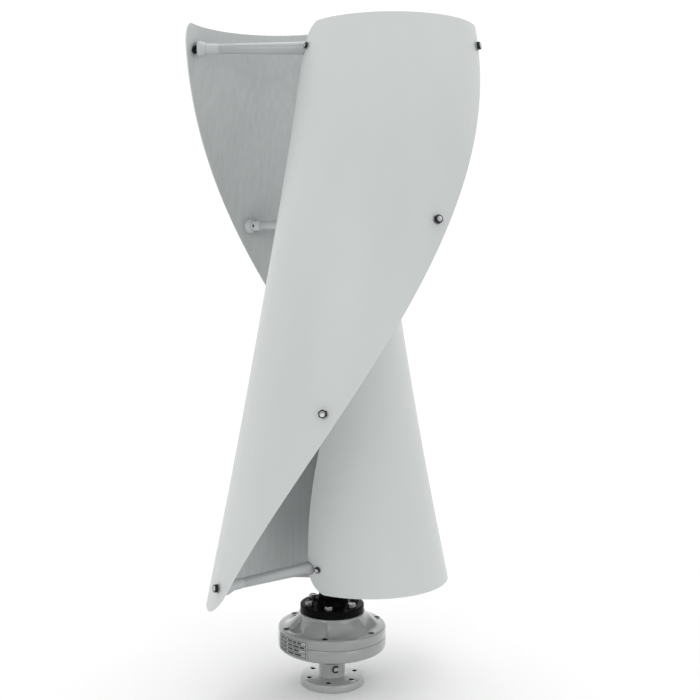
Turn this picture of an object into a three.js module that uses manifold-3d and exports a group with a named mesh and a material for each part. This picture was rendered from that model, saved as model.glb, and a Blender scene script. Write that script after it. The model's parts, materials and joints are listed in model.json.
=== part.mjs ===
// Vertical axis wind turbine: two helical blades on a shaft, driven round a fixed axle by the wind.
// Millimetres, +Z up. The origin is the centre of the mounting flange's underside, on the shaft axis.
import * as THREE from 'three';
import { mergeVertices } from 'three/addons/utils/BufferGeometryUtils.js';
import Module from 'manifold-3d';

const wasm = await Module();
wasm.setup();

// ---------------------------------------------------------------- driving dimensions

const CLEARANCE = 0.3;

// Rotor: four levels of arms carry two blades, B being A turned half way round.
const ARM_REACH = 250;
const LEVEL_COUNT = 4;
const LEVEL_PITCH = 306.5;
const LOWEST_LEVEL = 223;
const TOP_AZIMUTH = THREE.MathUtils.degToRad(-3.4);
const TWIST = THREE.MathUtils.degToRad(136.2);
const TWIST_BOW = THREE.MathUtils.degToRad(1);

// Blade: a bent sheet whose horizontal section is an arc. The arc's centre is given in the frame of
// the arms at that height, x along the arm and y a quarter turn on, at the lowest level, half way
// and at the highest level.
const ARC_CENTRE_X = { low: 96.5, middle: 74.5, high: 99.5 };
const ARC_CENTRE_Y = { low: 33, middle: 32, high: 48 };
const BLADE_THICKNESS = 2;
const BLADE_BOTTOM = 173.4;
const BLADE_TOP = 1185.6;
const BLADE_CORNER = 42;
const OUTER_EDGE_MARGIN = 29;
const INNER_EDGE_GAP = 2;
const INNER_BOLT_GAP = 22;
const ARM_NOTCH_RADIUS = 13.5;

// Arms and their flared end caps.
const ARM_ROOT_RADIUS = 11.2;
const ARM_TIP_RADIUS = 8.2;
const ARM_END = 230;
const CAP_START = 221;
const CAP_END = 239.5;
const CAP_RADIUS = 14;
const SPIDER_HUB_RADIUS = 33;
const SPIDER_HUB_HEIGHT = 36;
const LUG_THICKNESS = 3.5;
const LUG_HALF_HEIGHT = 11;
const LUG_GAP = 2.2;

// Shaft and hub flange.
const SHAFT_RADIUS = 24;
const SHAFT_WALL = 3;
const SHAFT_TOP = 1165;
const FLANGE_RADIUS = 58;
const FLANGE_THICKNESS = 14;
const FLANGE_BOLT_CIRCLE = 44.5;
const FLANGE_HOLE_RADIUS = 4.5;
const HUB_FLANGE_BOTTOM = 133.8;

// Generator casing.
const CASING_RADIUS = 98;
const CASING_BORE = 82;
const CASING_BOTTOM = 42.5;
const CASING_SEAM = 91;
const CASING_RIM_TOP = 109;
const CASING_SEAT_TOP = 133.5;
const CASING_SEAT_RADIUS = 60;
const RIM_BOLT_CIRCLE = 89;

// Fixed axle with the neck round it.
const NECK_TOP = 41;
const AXLE_RADIUS = 17;
const CABLE_HEIGHT = 31;
const CABLE_AZIMUTH = THREE.MathUtils.degToRad(-74);
const LOWER_BEARING = { bore: 15, outside: 31, bottom: 48, top: 64, balls: 7 };
const UPPER_BEARING = { bore: 12.5, outside: 26, bottom: 104, top: 119, balls: 7 };
const MAGNET_COUNT = 12;

// Fasteners. All the bolt circles have six holes, the first of them at this azimuth.
const FIRST_HOLE = THREE.MathUtils.degToRad(22);
const HOLE_COUNT = 6;
const M8 = { shank: 4, acrossFlats: 13, head: 5.5, washerRadius: 8, washer: 1.6, nut: 4 };
const M6 = { shank: 3, acrossFlats: 10, head: 4, washerRadius: 6, washer: 1.4, nut: 3 };
const HOLE_PLAY = 0.6;

const COLOURS = {
  blade: { color: 0xc9cccd, roughness: 0.45, metalness: 0.1 },
  casing: { color: 0xbfc2c1, roughness: 0.5, metalness: 0.2 },
  arm: { color: 0xd9dcde, roughness: 0.4, metalness: 0.3 },
  cap: { color: 0xe4e6e7, roughness: 0.5, metalness: 0.0 },
  black: { color: 0x141516, roughness: 0.35, metalness: 0.3 },
  steel: { color: 0x8d9093, roughness: 0.35, metalness: 0.9 },
  magnet: { color: 0x6f7274, roughness: 0.3, metalness: 0.9 },
  coil: { color: 0x7c4a22, roughness: 0.6, metalness: 0.1 },
  rubber: { color: 0x26272a, roughness: 0.8, metalness: 0.0 },
  plate: { color: 0xd2d4d4, roughness: 0.3, metalness: 0.6 },
};

// ---------------------------------------------------------------- solids

/** Turns a closed three.js geometry into a solid, without the slivers that lie on an axis. */
function solidOf(geometry) {
  const bare = geometry.index ? geometry.toNonIndexed() : geometry.clone();
  for (const name of Object.keys(bare.attributes)) {
    if (name !== 'position') bare.deleteAttribute(name);
  }
  const merged = mergeVertices(bare, 1e-4);
  const index = merged.index.array;
  const faces = [];
  for (let i = 0; i < index.length; i += 3) {
    const [a, b, c] = [index[i], index[i + 1], index[i + 2]];
    if (a !== b && b !== c && c !== a) faces.push(a, b, c);
  }
  const mesh = new wasm.Mesh({
    numProp: 3,
    vertProperties: new Float32Array(merged.attributes.position.array),
    triVerts: new Uint32Array(faces),
  });
  return new wasm.Manifold(mesh);
}

function geometryOf(solid) {
  const mesh = solid.getMesh();
  const geometry = new THREE.BufferGeometry();
  geometry.setAttribute('position', new THREE.BufferAttribute(mesh.vertProperties, 3));
  geometry.setIndex(new THREE.BufferAttribute(mesh.triVerts, 1));
  return geometry;
}

/** A solid of revolution about Z. The profile is a list of [radius, height], closed on itself. */
function turned(profile, sides) {
  const points = [...profile, profile[0]].map(([radius, height]) => new THREE.Vector2(radius, height));
  const geometry = new THREE.LatheGeometry(points, sides);
  geometry.rotateX(Math.PI / 2);
  const solid = solidOf(geometry);
  return solid.volume() < 0 ? solidOf(flipped(geometry)) : solid;
}

function flipped(geometry) {
  const turnedRound = geometry.toNonIndexed();
  const positions = turnedRound.attributes.position;
  for (let i = 0; i < positions.count; i += 3) {
    const [x, y, z] = [positions.getX(i), positions.getY(i), positions.getZ(i)];
    positions.setXYZ(i, positions.getX(i + 1), positions.getY(i + 1), positions.getZ(i + 1));
    positions.setXYZ(i + 1, x, y, z);
  }
  return turnedRound;
}

/** A round or many-sided bar on Z from one height to another, tapered if it has an end radius. */
function bar(radius, from, to, sides, endRadius = radius) {
  const geometry = new THREE.CylinderGeometry(endRadius, radius, to - from, sides);
  geometry.rotateX(Math.PI / 2);
  geometry.translate(0, 0, (from + to) / 2);
  return solidOf(geometry);
}

function hexBar(acrossFlats, from, to) {
  return bar(acrossFlats / Math.sqrt(3), from, to, 6);
}

function box(low, high) {
  const size = high.map((value, axis) => value - low[axis]);
  const geometry = new THREE.BoxGeometry(...size);
  geometry.translate(...low.map((value, axis) => value + size[axis] / 2));
  return solidOf(geometry);
}

/** Moves a solid by a three.js matrix. */
function moved(solid, matrix) {
  const geometry = geometryOf(solid);
  geometry.applyMatrix4(matrix);
  return solidOf(geometry);
}

function turnToX(solid) {
  return moved(solid, new THREE.Matrix4().makeRotationY(Math.PI / 2));
}

function onCircle(radius, azimuth, height) {
  return new THREE.Matrix4().makeTranslation(
    radius * Math.cos(azimuth), radius * Math.sin(azimuth), height,
  );
}

function holeAzimuth(index) {
  return FIRST_HOLE + (index * 2 * Math.PI) / HOLE_COUNT;
}

/** Drills six holes on a circle. */
function drilled(solid, circle, radius, from, to) {
  let result = solid;
  for (let index = 0; index < HOLE_COUNT; index += 1) {
    const hole = moved(bar(radius, from, to, 8), onCircle(circle, holeAzimuth(index), 0));
    result = result.subtract(hole);
  }
  return result;
}

// ---------------------------------------------------------------- blade surface

const LEVEL_SPAN = LEVEL_PITCH * (LEVEL_COUNT - 1);
const LEVEL_MIDDLE = LOWEST_LEVEL + LEVEL_SPAN / 2;
const BLADE_CENTRE = (BLADE_TOP + BLADE_BOTTOM) / 2;
const BLADE_HALF_HEIGHT = (BLADE_TOP - BLADE_BOTTOM) / 2;

function levelHeight(level) {
  return LOWEST_LEVEL + level * LEVEL_PITCH;
}

/** The arms' azimuth, which lags a little behind an even twist half way down. */
function azimuthAt(height) {
  const share = (LOWEST_LEVEL + LEVEL_SPAN - height) / LEVEL_SPAN;
  return TOP_AZIMUTH - TWIST * share + TWIST_BOW * 4 * share * (1 - share);
}

/** A smooth value along the blade's height, through its three stated values. */
function alongBlade(values, height) {
  const u = (height - LEVEL_MIDDLE) / (LEVEL_SPAN / 2);
  const slope = (values.high - values.low) / 2;
  const bow = (values.high + values.low) / 2 - values.middle;
  return values.middle + slope * u + bow * u * u;
}

/** The horizontal section's arc at a height, in the frame of the arms at that height. */
function arcAt(height) {
  const x = alongBlade(ARC_CENTRE_X, height);
  const y = alongBlade(ARC_CENTRE_Y, height);
  const radius = Math.hypot(ARM_REACH - x, y);
  const start = Math.atan2(y, ARM_REACH - x);
  return { x, y, radius, start, length: (Math.PI - 2 * start) * radius };
}

/** A point on the blade's outer face. The distance runs along the arc from the outer bolt line. */
function bladePoint(distance, height) {
  const arc = arcAt(height);
  const angle = -arc.start - distance / arc.radius;
  const local = new THREE.Vector3(
    arc.x + arc.radius * Math.cos(angle), arc.y + arc.radius * Math.sin(angle), height,
  );
  return local.applyAxisAngle(new THREE.Vector3(0, 0, 1), azimuthAt(height));
}

/** The blade's own axes at a point: along the arc to the inner edge, up the sheet, and outwards. */
function bladeAxes(distance, height) {
  const step = 0.5;
  const along = bladePoint(distance + step, height).sub(bladePoint(distance - step, height));
  const up = bladePoint(distance, height + step).sub(bladePoint(distance, height - step));
  const outwards = up.clone().cross(along).normalize();
  along.normalize();
  return { along, up: outwards.clone().cross(along), outwards };
}

function bladeFrame(distance, height) {
  const { along, up, outwards } = bladeAxes(distance, height);
  const frame = new THREE.Matrix4().makeBasis(along, up, outwards);
  return frame.setPosition(bladePoint(distance, height));
}

function innerBoltDistance(height) {
  return arcAt(height).length - INNER_BOLT_GAP;
}

/** How far a rounded corner lowers the sheet's end, at a distance in from its upright edge. */
function cornerDrop(inset) {
  if (inset >= BLADE_CORNER) return 0;
  return BLADE_CORNER - Math.sqrt(BLADE_CORNER ** 2 - (BLADE_CORNER - inset) ** 2);
}

/** The sheet's columns, from the outer edge to the inner: an inset from one edge, or a share. */
function bladeColumns() {
  const outerInsets = [0, 3, 11, OUTER_EDGE_MARGIN];
  const innerInsets = [INNER_BOLT_GAP - INNER_EDGE_GAP, 9, 3, 0];
  const middleCount = 7;
  const columns = outerInsets.map((inset) => ({ inset, share: 0 }));
  for (let i = 1; i < middleCount; i += 1) {
    columns.push({ inset: OUTER_EDGE_MARGIN, share: i / middleCount });
  }
  return [...columns, ...innerInsets.map((inset) => ({ inset, share: 1 }))];
}

function columnDistance(column, height) {
  const outer = -OUTER_EDGE_MARGIN + column.inset;
  const inner = arcAt(height).length - INNER_EDGE_GAP - column.inset;
  return outer + (inner - outer) * column.share;
}

/** Row heights: the bottom, then four rows to each level, then the top. */
function bladeRows() {
  const rowsPerLevel = 4;
  const rows = [BLADE_BOTTOM];
  for (let i = 0; i <= rowsPerLevel * (LEVEL_COUNT - 1); i += 1) {
    rows.push(LOWEST_LEVEL + (i * LEVEL_PITCH) / rowsPerLevel);
  }
  return [...rows, BLADE_TOP];
}

/** The bent sheet before it is drilled: an outer and an inner grid, closed round the rim. */
function bladeSheet() {
  const columns = bladeColumns();
  const rows = bladeRows();
  const positions = [];
  for (const depth of [0, BLADE_THICKNESS]) {
    for (const row of rows) {
      for (const column of columns) {
        const squeeze = 1 - cornerDrop(column.inset) / BLADE_HALF_HEIGHT;
        const height = BLADE_CENTRE + (row - BLADE_CENTRE) * squeeze;
        const distance = columnDistance(column, height);
        const point = bladePoint(distance, height);
        point.addScaledVector(bladeAxes(distance, height).outwards, -depth);
        positions.push(...point.toArray());
      }
    }
  }
  const geometry = new THREE.BufferGeometry();
  geometry.setAttribute('position', new THREE.Float32BufferAttribute(positions, 3));
  geometry.setIndex(sheetFaces(rows.length, columns.length));
  return solidOf(geometry);
}

function sheetFaces(rowCount, columnCount) {
  const faces = [];
  const quad = (a, b, c, d) => faces.push(a, b, c, a, c, d);
  const outer = (row, column) => row * columnCount + column;
  const inner = (row, column) => outer(row, column) + rowCount * columnCount;
  const lastRow = rowCount - 1;
  const lastColumn = columnCount - 1;
  for (let r = 0; r < lastRow; r += 1) {
    for (let c = 0; c < lastColumn; c += 1) {
      quad(outer(r, c), outer(r + 1, c), outer(r + 1, c + 1), outer(r, c + 1));
      quad(inner(r, c), inner(r, c + 1), inner(r + 1, c + 1), inner(r + 1, c));
    }
    quad(outer(r, 0), inner(r, 0), inner(r + 1, 0), outer(r + 1, 0));
    quad(outer(r, lastColumn), outer(r + 1, lastColumn), inner(r + 1, lastColumn), inner(r, lastColumn));
  }
  for (let c = 0; c < lastColumn; c += 1) {
    quad(outer(0, c), outer(0, c + 1), inner(0, c + 1), inner(0, c));
    quad(outer(lastRow, c), inner(lastRow, c), inner(lastRow, c + 1), outer(lastRow, c + 1));
  }
  return faces;
}

/** The sheet with a hole for each bolt and a notch where each arm passes its inner edge. */
function blade() {
  let sheet = bladeSheet();
  const outerHole = bar(M8.shank + HOLE_PLAY, -10, 10, 6);
  const innerHole = bar(M6.shank + HOLE_PLAY, -10, 10, 6);
  const notch = turnToX(bar(ARM_NOTCH_RADIUS, -ARM_REACH / 2, -SPIDER_HUB_RADIUS, 8));
  for (let level = 0; level < LEVEL_COUNT; level += 1) {
    const height = levelHeight(level);
    const arms = new THREE.Matrix4().makeRotationZ(azimuthAt(height)).setPosition(0, 0, height);
    sheet = sheet.subtract(moved(outerHole, bladeFrame(0, height)));
    sheet = sheet.subtract(moved(innerHole, bladeFrame(innerBoltDistance(height), height)));
    sheet = sheet.subtract(moved(notch, arms));
  }
  return sheet;
}

// ---------------------------------------------------------------- rotor frame

/** A hub on the shaft with two tapered arms, and a lug on each arm for a blade's inner edge. */
function spider(level) {
  const height = levelHeight(level);
  const half = SPIDER_HUB_HEIGHT / 2;
  const arm = turnToX(bar(ARM_ROOT_RADIUS, SHAFT_RADIUS + 3, ARM_END, 10, ARM_TIP_RADIUS));
  const halfTurn = new THREE.Matrix4().makeRotationZ(Math.PI);
  const lug = bladeLug(height);
  return bar(SPIDER_HUB_RADIUS, -half, half, 20)
    .add(arm)
    .add(moved(arm, halfTurn))
    .add(lug)
    .add(moved(lug, halfTurn))
    .subtract(bar(SHAFT_RADIUS + CLEARANCE, -half - 1, half + 1, 20));
}

/** The lug for blade A's inner bolt, in the spider's own frame. It reaches to the arm. */
function bladeLug(height) {
  const top = -BLADE_THICKNESS - LUG_GAP;
  const pastBolt = 10;
  const low = [-pastBolt, -LUG_HALF_HEIGHT, top - LUG_THICKNESS];
  const plate = box(low, [INNER_BOLT_GAP - 4, LUG_HALF_HEIGHT, top]);
  const hole = bar(M6.shank + HOLE_PLAY, top - LUG_THICKNESS - 1, top + 1, 6);
  const toSpider = new THREE.Matrix4().makeRotationZ(azimuthAt(height)).setPosition(0, 0, height).invert();
  const frame = toSpider.multiply(bladeFrame(innerBoltDistance(height), height));
  return moved(plate.subtract(hole), frame);
}

/** The flared cup that closes an arm's end, along +X in the arm's frame. */
function armCap() {
  const bore = ARM_TIP_RADIUS + 0.15 + CLEARANCE;
  return turnToX(turned([
    [bore, CAP_START],
    [bore + 2.3, CAP_START],
    [CAP_RADIUS, CAP_END - 1],
    [CAP_RADIUS - 1, CAP_END],
    [10.5, CAP_END],
    [bore, ARM_END + CLEARANCE],
  ], 12));
}

/** A hexagon bolt with its washer: the blade's outer face is at height 0 and the head above it. */
function bladeBolt(size, nutTop, shankEnd) {
  const washerBottom = CLEARANCE + 0.4;
  const headBottom = washerBottom + size.washer;
  return bar(size.shank, shankEnd, headBottom, 6)
    .add(bar(size.washerRadius, washerBottom, headBottom, 10))
    .add(hexBar(size.acrossFlats, headBottom, headBottom + size.head))
    .add(hexBar(size.acrossFlats, nutTop - size.nut, nutTop));
}

function outerBolt() {
  return bladeBolt(M8, -BLADE_THICKNESS - 1.6, -14);
}

function innerBolt() {
  const nutTop = -BLADE_THICKNESS - LUG_GAP - LUG_THICKNESS - CLEARANCE;
  return bladeBolt(M6, nutTop, nutTop - M6.nut - 2.5);
}

function mainShaft() {
  const bottom = HUB_FLANGE_BOTTOM + 6 + CLEARANCE;
  return turned([
    [SHAFT_RADIUS - SHAFT_WALL, bottom],
    [SHAFT_RADIUS, bottom],
    [SHAFT_RADIUS, SHAFT_TOP],
    [SHAFT_RADIUS - SHAFT_WALL, SHAFT_TOP],
  ], 24);
}

function shaftCap() {
  const plug = SHAFT_RADIUS - SHAFT_WALL - CLEARANCE;
  return bar(plug, SHAFT_TOP - 15, SHAFT_TOP + 1, 16)
    .add(bar(SHAFT_RADIUS, SHAFT_TOP + CLEARANCE, SHAFT_TOP + 3.5, 24));
}

function hubFlange() {
  const bottom = HUB_FLANGE_BOTTOM;
  const top = bottom + FLANGE_THICKNESS;
  const socket = SHAFT_RADIUS + CLEARANCE;
  const bossRadius = 29;
  const bossTop = top + 11;
  const body = turned([
    [0, bottom],
    [FLANGE_RADIUS - 1, bottom],
    [FLANGE_RADIUS, bottom + 1],
    [FLANGE_RADIUS, top - 1],
    [FLANGE_RADIUS - 1, top],
    [bossRadius + 2, top],
    [bossRadius, top + 2],
    [bossRadius, bossTop - 1],
    [bossRadius - 1, bossTop],
    [socket, bossTop],
    [socket, bottom + 6],
    [0, bottom + 6],
  ], 28);
  return drilled(body, FLANGE_BOLT_CIRCLE, FLANGE_HOLE_RADIUS, bottom - 1, top + 1);
}

function hubBolt() {
  const seat = HUB_FLANGE_BOTTOM + FLANGE_THICKNESS + CLEARANCE;
  return bar(M8.shank, CASING_SEAT_TOP - 6.5, seat + 1, 6)
    .add(bar(M8.washerRadius, seat, seat + M8.washer, 10))
    .add(hexBar(M8.acrossFlats, seat + M8.washer, seat + M8.washer + M8.head));
}

// ---------------------------------------------------------------- generator

/** The upper casing: a raised seat for the hub flange, a sloping shoulder and a flat bolted rim. */
function upperCover() {
  const ceiling = CASING_RIM_TOP - 5.5;
  const bearingTop = UPPER_BEARING.top + CLEARANCE;
  const body = turned([
    [0, CASING_SEAT_TOP],
    [CASING_SEAT_RADIUS, CASING_SEAT_TOP],
    [CASING_SEAT_RADIUS + 1.5, CASING_SEAT_TOP - 1.5],
    [78, CASING_RIM_TOP],
    [CASING_RADIUS - 3, CASING_RIM_TOP],
    [CASING_RADIUS, CASING_RIM_TOP - 3],
    [CASING_RADIUS, CASING_SEAM + CLEARANCE],
    [CASING_BORE, CASING_SEAM + CLEARANCE],
    [CASING_BORE, ceiling],
    [68, ceiling],
    [55, CASING_SEAT_TOP - 8],
    [33, CASING_SEAT_TOP - 8],
    [33, UPPER_BEARING.bottom],
    [UPPER_BEARING.outside, UPPER_BEARING.bottom],
    [UPPER_BEARING.outside, bearingTop],
    [21, bearingTop],
    [21, CASING_SEAT_TOP - 6],
    [0, CASING_SEAT_TOP - 6],
  ], 28);
  const bolted = drilled(body, FLANGE_BOLT_CIRCLE, M8.shank + 0.4, CASING_SEAT_TOP - 10, CASING_SEAT_TOP + 1);
  const screwed = drilled(bolted, RIM_BOLT_CIRCLE, 3.4, CASING_SEAM, CASING_RIM_TOP + 1);
  return drilled(screwed, RIM_BOLT_CIRCLE, 5.4, CASING_RIM_TOP - 8, CASING_RIM_TOP + 1);
}

/** The lower casing: a shallow bowl with the lower bearing's housing and the seal's seat. */
function lowerCover() {
  const sealBore = 26.2;
  const ledge = 69;
  const body = turned([
    [sealBore, CASING_BOTTOM],
    [28, CASING_BOTTOM],
    [90, 65.5],
    [96, 68.5],
    [CASING_RADIUS, 73],
    [CASING_RADIUS, CASING_SEAM - CLEARANCE],
    [CASING_BORE, CASING_SEAM - CLEARANCE],
    [CASING_BORE, ledge],
    [72, ledge],
    [70, 66],
    [37.5, 54],
    [37.5, 64.5],
    [LOWER_BEARING.outside, 64.5],
    [LOWER_BEARING.outside, LOWER_BEARING.bottom],
    [sealBore, LOWER_BEARING.bottom],
  ], 28);
  return drilled(body, RIM_BOLT_CIRCLE, 3.4, CASING_SEAM - 14, CASING_SEAM + 1);
}

/** A sunk cap screw that holds the casing's halves together. */
function rimScrew() {
  const seat = CASING_RIM_TOP - 8 + CLEARANCE;
  return bar(3, CASING_SEAM - 12, seat + 1, 6)
    .add(bar(5, seat, seat + 4, 8))
    .subtract(hexBar(4, seat + 1.8, seat + 5));
}

/** A steel ring with round magnets on the face towards the coils. */
function magnetDisc(plateFrom, plateTo, magnetFrom, magnetTo) {
  const inside = 38;
  const outside = CASING_BORE - 2;
  let disc = turned([[inside, plateFrom], [outside, plateFrom], [outside, plateTo], [inside, plateTo]], 24);
  for (let index = 0; index < MAGNET_COUNT; index += 1) {
    const azimuth = (index * 2 * Math.PI) / MAGNET_COUNT;
    disc = disc.add(moved(bar(9, magnetFrom, magnetTo, 8), onCircle(66, azimuth, 0)));
  }
  return disc;
}

function lowerMagnetDisc() {
  return magnetDisc(69.3, 74.3, 74, 79);
}

function upperMagnetDisc() {
  return magnetDisc(98.2, 103.2, 93.2, 98.5);
}

/** The fixed coils, cast in a disc with a sleeve that fills the axle between the bearings. */
function statorCoils() {
  const bore = 14 + CLEARANCE;
  return turned([
    [bore, LOWER_BEARING.top + CLEARANCE],
    [19.5, LOWER_BEARING.top + CLEARANCE],
    [22, 70],
    [22, 80.5],
    [79, 80.5],
    [79, 91.5],
    [22, 91.5],
    [22, 98],
    [16.5, UPPER_BEARING.bottom - CLEARANCE],
    [bore, UPPER_BEARING.bottom - CLEARANCE],
  ], 24);
}

/** The fixed axle, stepped for the bearings and bored for the cable. */
function statorAxle() {
  const seatTop = LOWER_BEARING.top + CLEARANCE;
  const body = turned([
    [0, 0.5],
    [AXLE_RADIUS, 0.5],
    [AXLE_RADIUS, LOWER_BEARING.bottom],
    [LOWER_BEARING.bore, LOWER_BEARING.bottom],
    [LOWER_BEARING.bore, seatTop],
    [14, seatTop],
    [14, UPPER_BEARING.bottom - CLEARANCE],
    [UPPER_BEARING.bore, UPPER_BEARING.bottom - CLEARANCE],
    [UPPER_BEARING.bore, UPPER_BEARING.top],
    [12, UPPER_BEARING.top],
    [12, 126.5],
    [0, 126.5],
  ], 20);
  const towardsCable = new THREE.Matrix4().makeRotationZ(CABLE_AZIMUTH);
  const sideHole = turnToX(bar(4.5, 0, AXLE_RADIUS + 2, 8));
  const lowHole = moved(sideHole, towardsCable.clone().setPosition(0, 0, CABLE_HEIGHT));
  const highHole = moved(sideHole, towardsCable.clone().setPosition(0, 0, 86));
  return body.subtract(bar(6, CABLE_HEIGHT - 7, 92, 8)).subtract(lowHole).subtract(highHole);
}

function axleNut() {
  const from = UPPER_BEARING.top + CLEARANCE;
  return hexBar(32, from, from + 6).subtract(bar(12 + CLEARANCE, from - 1, from + 7, 20));
}

/** A ball bearing's inner ring, grooved for its balls. */
function bearingInner({ bore, outside, bottom, top }) {
  const inside = bore + CLEARANCE;
  const span = outside - CLEARANCE - inside;
  const ring = inside + 0.3 * span;
  const ball = 0.27 * span;
  const groove = inside + span / 2 - ball - 0.5;
  const middle = (bottom + top) / 2;
  return turned([
    [inside, bottom + CLEARANCE],
    [ring, bottom + CLEARANCE],
    [ring, middle - ball],
    [groove, middle - 0.3 * ball],
    [groove, middle + 0.3 * ball],
    [ring, middle + ball],
    [ring, top - CLEARANCE],
    [inside, top - CLEARANCE],
  ], 20);
}

/** The bearing's outer ring with its balls, which clear the inner ring's groove. */
function bearingOuter({ bore, outside, bottom, top, balls }) {
  const inside = bore + CLEARANCE;
  const outerWall = outside - CLEARANCE;
  const span = outerWall - inside;
  const ring = outerWall - 0.3 * span;
  const from = bottom + CLEARANCE;
  const to = top - CLEARANCE;
  let result = turned([[ring, from], [outerWall, from], [outerWall, to], [ring, to]], 20);
  const ball = solidOf(new THREE.IcosahedronGeometry(0.27 * span, 0));
  for (let index = 0; index < balls; index += 1) {
    const azimuth = (index * 2 * Math.PI) / balls;
    result = result.add(moved(ball, onCircle(inside + span / 2, azimuth, (bottom + top) / 2)));
  }
  return result;
}

function neckSeal() {
  return turned([
    [AXLE_RADIUS + 0.5, 43],
    [25.9, 43],
    [25.9, LOWER_BEARING.bottom - CLEARANCE],
    [21, LOWER_BEARING.bottom - CLEARANCE],
    [AXLE_RADIUS + 0.5, 44.5],
  ], 20);
}

/** The bolting flange with the neck that holds the axle, and the cable's outlet through the neck. */
function mountFlange() {
  const bore = AXLE_RADIUS + CLEARANCE;
  const neck = SHAFT_RADIUS;
  const body = turned([
    [bore, 0],
    [FLANGE_RADIUS - 1, 0],
    [FLANGE_RADIUS, 1],
    [FLANGE_RADIUS, FLANGE_THICKNESS - 1],
    [FLANGE_RADIUS - 1, FLANGE_THICKNESS],
    [neck + 3, FLANGE_THICKNESS],
    [neck, FLANGE_THICKNESS + 3],
    [neck, NECK_TOP - 1],
    [neck - 1, NECK_TOP],
    [bore, NECK_TOP],
  ], 28);
  const outlet = turnToX(bar(6.5, AXLE_RADIUS - 2, neck + 3, 12));
  const placed = new THREE.Matrix4().makeRotationZ(CABLE_AZIMUTH).setPosition(0, 0, CABLE_HEIGHT);
  const drilledBody = drilled(body, FLANGE_BOLT_CIRCLE, FLANGE_HOLE_RADIUS, -1, FLANGE_THICKNESS + 1);
  return drilledBody.subtract(moved(outlet, placed));
}

/** A closed rubber bung in the cable's outlet, with a lip on the neck. Built along +X. */
function cableGrommet() {
  const wall = SHAFT_RADIUS;
  return turnToX(turned([
    [0, AXLE_RADIUS + 0.8],
    [6.1, AXLE_RADIUS + 0.8],
    [6.1, wall + 0.4],
    [7.4, wall + 0.6],
    [7.4, wall + 1.6],
    [6.4, wall + 2.4],
    [3.6, wall + 2.4],
    [3.2, wall + 1.2],
    [0, wall + 1.2],
  ], 12));
}

/** A thin plate rolled to the casing, with no lettering. */
function ratingPlate() {
  const inside = CASING_RADIUS + CLEARANCE;
  const from = THREE.MathUtils.degToRad(-161);
  const to = THREE.MathUtils.degToRad(-116);
  const outline = new THREE.Shape();
  outline.absarc(0, 0, inside + 0.7, from, to, false);
  outline.absarc(0, 0, inside, to, from, true);
  const geometry = new THREE.ExtrudeGeometry(outline, { depth: 30.5, bevelEnabled: false, curveSegments: 10 });
  geometry.translate(0, 0, 74);
  return solidOf(geometry);
}

// ---------------------------------------------------------------- assembly

const turbine = new THREE.Group();
const base = new THREE.Group();
const rotor = new THREE.Group();
turbine.add(base, rotor);

/** Adds a named piece to a group and returns its mesh. */
function addPiece(group, name, solid, look) {
  const mesh = new THREE.Mesh(geometryOf(solid), new THREE.MeshStandardMaterial(COLOURS[look]));
  mesh.name = name;
  group.add(mesh);
  return mesh;
}

/** Sets a mesh's place from a matrix. */
function place(mesh, matrix) {
  matrix.decompose(mesh.position, mesh.quaternion, mesh.scale);
}

function addBase() {
  addPiece(base, 'mount_flange', mountFlange(), 'casing');
  addPiece(base, 'stator_axle', statorAxle(), 'steel');
  addPiece(base, 'stator_coils', statorCoils(), 'coil');
  addPiece(base, 'axle_nut', axleNut(), 'steel');
  addPiece(base, 'lower_bearing_inner', bearingInner(LOWER_BEARING), 'steel');
  addPiece(base, 'upper_bearing_inner', bearingInner(UPPER_BEARING), 'steel');
  const grommet = addPiece(base, 'cable_grommet', cableGrommet(), 'rubber');
  grommet.rotation.z = CABLE_AZIMUTH;
  grommet.position.z = CABLE_HEIGHT;
}

function addGeneratorRotor() {
  addPiece(rotor, 'lower_cover', lowerCover(), 'casing');
  addPiece(rotor, 'upper_cover', upperCover(), 'casing');
  addPiece(rotor, 'lower_magnet_disc', lowerMagnetDisc(), 'magnet');
  addPiece(rotor, 'upper_magnet_disc', upperMagnetDisc(), 'magnet');
  addPiece(rotor, 'lower_bearing_outer', bearingOuter(LOWER_BEARING), 'steel');
  addPiece(rotor, 'upper_bearing_outer', bearingOuter(UPPER_BEARING), 'steel');
  addPiece(rotor, 'neck_seal', neckSeal(), 'rubber');
  addPiece(rotor, 'rating_plate', ratingPlate(), 'plate');
  for (let index = 0; index < HOLE_COUNT; index += 1) {
    const screw = addPiece(rotor, `rim_screw_${index + 1}`, rimScrew(), 'black');
    place(screw, onCircle(RIM_BOLT_CIRCLE, holeAzimuth(index), 0));
    const bolt = addPiece(rotor, `hub_bolt_${index + 1}`, hubBolt(), 'steel');
    place(bolt, onCircle(FLANGE_BOLT_CIRCLE, holeAzimuth(index), 0));
  }
}

function addShaft() {
  addPiece(rotor, 'hub_flange', hubFlange(), 'black');
  addPiece(rotor, 'main_shaft', mainShaft(), 'black');
  addPiece(rotor, 'shaft_cap', shaftCap(), 'rubber');
  for (let level = 0; level < LEVEL_COUNT; level += 1) {
    const arms = addPiece(rotor, `spider_${level + 1}`, spider(level), 'arm');
    arms.rotation.z = azimuthAt(levelHeight(level));
    arms.position.z = levelHeight(level);
  }
}

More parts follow.
